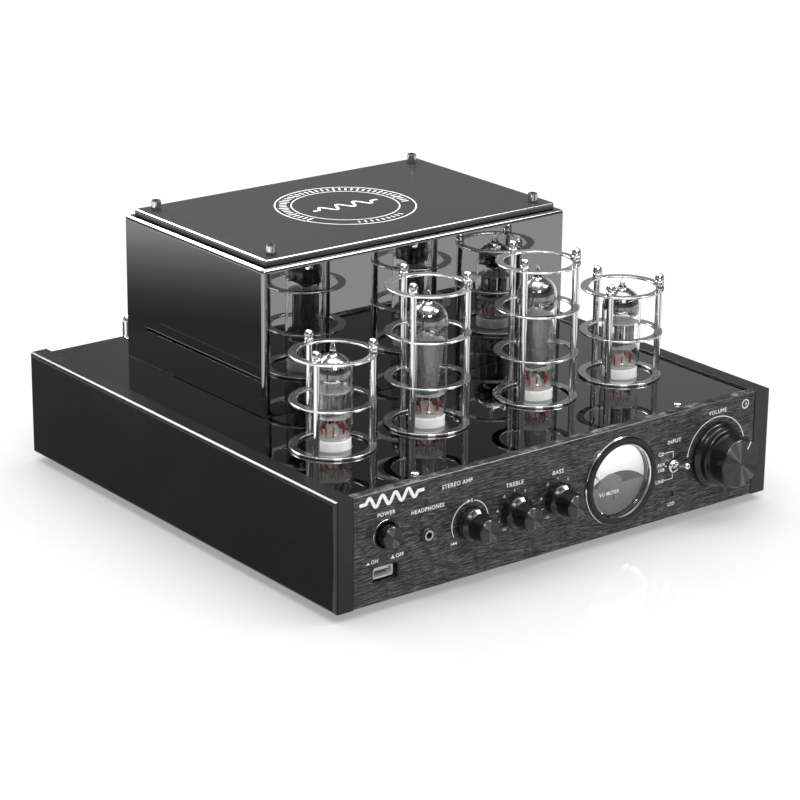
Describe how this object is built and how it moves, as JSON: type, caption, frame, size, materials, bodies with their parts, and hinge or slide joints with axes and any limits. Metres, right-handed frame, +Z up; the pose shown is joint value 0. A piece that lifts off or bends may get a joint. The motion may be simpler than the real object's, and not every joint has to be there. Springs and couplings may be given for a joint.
{
  "type": "tube amplifier",
  "caption": "Desktop stereo tube amplifier: caged glass tubes on a mirror-black deck, boxed transformer cover, front rotary controls, level meter and rear connections.",
  "frame": {"origin": "bottom centre of the whole amplifier, on the surface its feet stand on, midway between the side panels and midway between the volume knob's face and the ends of the speaker terminals", "axes": "+Z up, -Y out of the front panel, +X to the right as seen from the front"},
  "size_m": [0.308, 0.344, 0.1604],
  "materials": {
    "side_panels": "black anodised extrusion, fine satin",
    "front_panel": "black anodised, brushed from side to side",
    "deck": "black mirror plating",
    "cover": "black mirror plating",
    "lid": "satin dark grey",
    "inner_sheet": "satin black",
    "chrome": "polished",
    "nickel": "nickel plated",
    "usb_shell": "tin plated",
    "knobs": "black anodised, turned faces",
    "meter_bezel": "black anodised, polished rim",
    "meter_glass": "clear",
    "dial": "printed dial",
    "needle": "red",
    "led": "dark lens",
    "tube_glass": "clear, silvered inside the top",
    "electrodes": "grey nickel and mica",
    "ceramic": "white, lightly glazed",
    "feet": "matt black",
    "core": "laminated steel core with wound coil",
    "circuit_board": "green solder mask",
    "black_plastic": "moulded black",
    "terminal_caps": "moulded, red or black"
  },
  "bodies": {
    "chassis": {"side_panel_left": "side_panels", "side_panel_right": "side_panels", "front_panel": "front_panel", "deck_plate": "deck", "bottom_plate": "inner_sheet", "rear_panel": "inner_sheet", "transformer_cover": "cover", "cover_lid": "lid", "power_transformer": "core", "output_transformer_left": "core", "output_transformer_right": "core", "main_board": "circuit_board", "wireless_board": "usb_shell", "control_board": "circuit_board", "power_switch": "chrome", "headphone_jack": "nickel", "status_led": "led", "input_switch": "chrome", "meter_bezel": "meter_bezel", "meter_housing": "dial", "meter_glass": "meter_glass", "ac_inlet": "black_plastic", "line_jacks": "black_plastic", "speaker_terminals": "black_plastic", "cover_screw_front_left": "chrome", "foot_front_left": "feet", "cover_screw_front_right": "chrome", "foot_front_right": "feet", "cover_screw_rear_left": "chrome", "foot_rear_left": "feet", "cover_screw_rear_right": "chrome", "foot_rear_right": "feet", "tube_socket_outer_left": "ceramic", "tube_guard_outer_left": "chrome", "tube_socket_inner_left": "ceramic", "tube_guard_inner_left": "chrome", "tube_socket_inner_right": "ceramic", "tube_guard_inner_right": "chrome", "tube_socket_outer_right": "ceramic", "tube_guard_outer_right": "chrome"},
    "power_button": {"power_button": "knobs"},
    "track_knob": {"track_knob": "knobs"},
    "treble_knob": {"treble_knob": "knobs"},
    "bass_knob": {"bass_knob": "knobs"},
    "volume_knob": {"volume_knob": "knobs"},
    "input_lever": {"input_lever": "chrome"},
    "meter_needle": {"meter_needle": "needle"},
    "antenna": {"antenna": "chrome"},
    "tube_outer_left": {"tube_envelope_outer_left": "tube_glass", "tube_electrodes_outer_left": "electrodes"},
    "tube_inner_left": {"tube_envelope_inner_left": "tube_glass", "tube_electrodes_inner_left": "electrodes"},
    "tube_inner_right": {"tube_envelope_inner_right": "tube_glass", "tube_electrodes_inner_right": "electrodes"},
    "tube_outer_right": {"tube_envelope_outer_right": "tube_glass", "tube_electrodes_outer_right": "electrodes"},
    "terminal_cap_right_negative": {"terminal_cap_right_negative": "terminal_caps"},
    "terminal_cap_right_positive": {"terminal_cap_right_positive": "terminal_caps"},
    "terminal_cap_left_negative": {"terminal_cap_left_negative": "terminal_caps"},
    "terminal_cap_left_positive": {"terminal_cap_left_positive": "terminal_caps"}
  },
  "joints": [
    {"name": "power_press", "type": "slide", "parent": "chassis", "child": "power_button", "axis": [0, 1, 0], "range_m": [0, 0.003], "stiffness_N_per_m": 400, "springref_m": -0.001},
    {"name": "track_turn", "type": "hinge", "parent": "chassis", "child": "track_knob", "pos_m": [-0.0654, -0.1515, 0.0361], "axis": [0, 1, 0], "range_deg": [-30, 30], "stiffness_Nm_per_rad": 0.02},
    {"name": "treble_turn", "type": "hinge", "parent": "chassis", "child": "treble_knob", "pos_m": [-0.0351, -0.1515, 0.0361], "axis": [0, 1, 0], "range_deg": [-145, 145]},
    {"name": "bass_turn", "type": "hinge", "parent": "chassis", "child": "bass_knob", "pos_m": [-0.0048, -0.1515, 0.0361], "axis": [0, 1, 0], "range_deg": [-145, 145]},
    {"name": "volume_turn", "type": "hinge", "parent": "chassis", "child": "volume_knob", "pos_m": [0.1128, -0.1515, 0.0361], "axis": [0, 1, 0], "range_deg": [-178, 118]},
    {"name": "input_toggle", "type": "hinge", "parent": "chassis", "child": "input_lever", "pos_m": [0.0798, -0.1519, 0.0361], "axis": [1, 0, 0], "range_deg": [0, 32]},
    {"name": "needle_swing", "type": "hinge", "parent": "chassis", "child": "meter_needle", "pos_m": [0.0406, -0.1515, 0.0251], "axis": [0, 1, 0], "range_deg": [0, 90], "stiffness_Nm_per_rad": 0.0001},
    {"name": "antenna_swivel", "type": "hinge", "parent": "chassis", "child": "antenna", "pos_m": [-0.0775, 0.1485, 0.045], "axis": [0, 1, 0], "range_deg": [-90, 90]},
    {"name": "tube_outer_left_lift", "type": "slide", "parent": "chassis", "child": "tube_outer_left", "axis": [0, 0, 1], "range_m": [0, 0.06]},
    {"name": "tube_inner_left_lift", "type": "slide", "parent": "chassis", "child": "tube_inner_left", "axis": [0, 0, 1], "range_m": [0, 0.085]},
    {"name": "tube_inner_right_lift", "type": "slide", "parent": "chassis", "child": "tube_inner_right", "axis": [0, 0, 1], "range_m": [0, 0.085]},
    {"name": "tube_outer_right_lift", "type": "slide", "parent": "chassis", "child": "tube_outer_right", "axis": [0, 0, 1], "range_m": [0, 0.06]},
    {"name": "terminal_right_negative_turn", "type": "hinge", "parent": "chassis", "child": "terminal_cap_right_negative", "pos_m": [0.061, 0.1485, 0.0361], "axis": [0, -1, 0], "range_deg": [0, 1080]},
    {"name": "terminal_right_positive_turn", "type": "hinge", "parent": "chassis", "child": "terminal_cap_right_positive", "pos_m": [0.08, 0.1485, 0.0361], "axis": [0, -1, 0], "range_deg": [0, 1080]},
    {"name": "terminal_left_negative_turn", "type": "hinge", "parent": "chassis", "child": "terminal_cap_left_negative", "pos_m": [0.104, 0.1485, 0.0361], "axis": [0, -1, 0], "range_deg": [0, 1080]},
    {"name": "terminal_left_positive_turn", "type": "hinge", "parent": "chassis", "child": "terminal_cap_left_positive", "pos_m": [0.123, 0.1485, 0.0361], "axis": [0, -1, 0], "range_deg": [0, 1080]}
  ]
}
